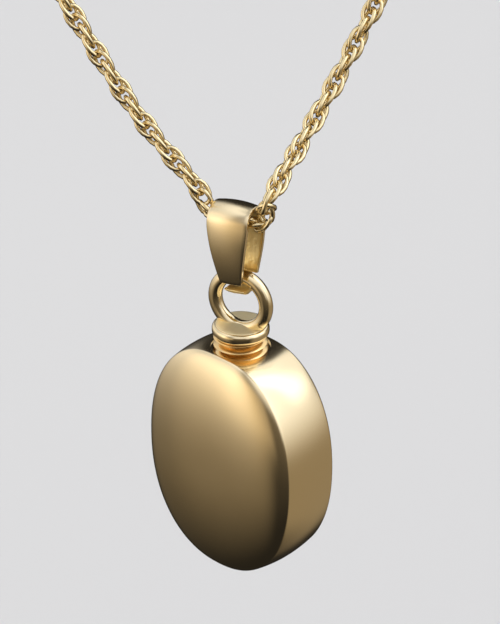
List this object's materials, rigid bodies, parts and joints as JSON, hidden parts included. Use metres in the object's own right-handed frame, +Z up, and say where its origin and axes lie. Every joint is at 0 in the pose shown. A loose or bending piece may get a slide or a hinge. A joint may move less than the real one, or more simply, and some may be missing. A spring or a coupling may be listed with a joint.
{
  "type": "keepsake urn pendant on a rope chain",
  "caption": "Gold oval keepsake urn pendant with a screw stopper and ring, hung by a folded strap bail on a rope chain necklace.",
  "frame": {"origin": "where the closed clasp's inner face lies on the nape of the neck", "axes": "+Z up, -Y to the wearer's front, +X to the wearer's left, which is on the right of someone who looks at them"},
  "size_m": [0.1284, 0.123, 0.1579],
  "materials": {
    "polished_gold": "mirror polished yellow gold",
    "chain_gold": "polished pale yellow gold"
  },
  "bodies": {
    "necklace": {"chain": "chain_gold", "clasp": "chain_gold"},
    "bail": {"bail": "polished_gold"},
    "stopper": {"stopper": "polished_gold"},
    "urn": {"urn": "polished_gold"}
  },
  "joints": [
    {"name": "bail_swing", "type": "hinge", "parent": "necklace", "child": "bail", "pos_m": [0, -0.11, -0.118], "axis": [0.8176, -0.5725, 0.061], "range_deg": [-45, 45]},
    {"name": "pendant_swing", "type": "hinge", "parent": "bail", "child": "stopper", "pos_m": [0.00045, -0.11031, -0.12436], "axis": [0.8192, -0.5736, 0], "range_deg": [-60, 60]},
    {"name": "urn_off", "type": "slide", "parent": "stopper", "child": "urn", "axis": [0, 0, 1], "range_m": [-0.008, 0.0015]}
  ]
}
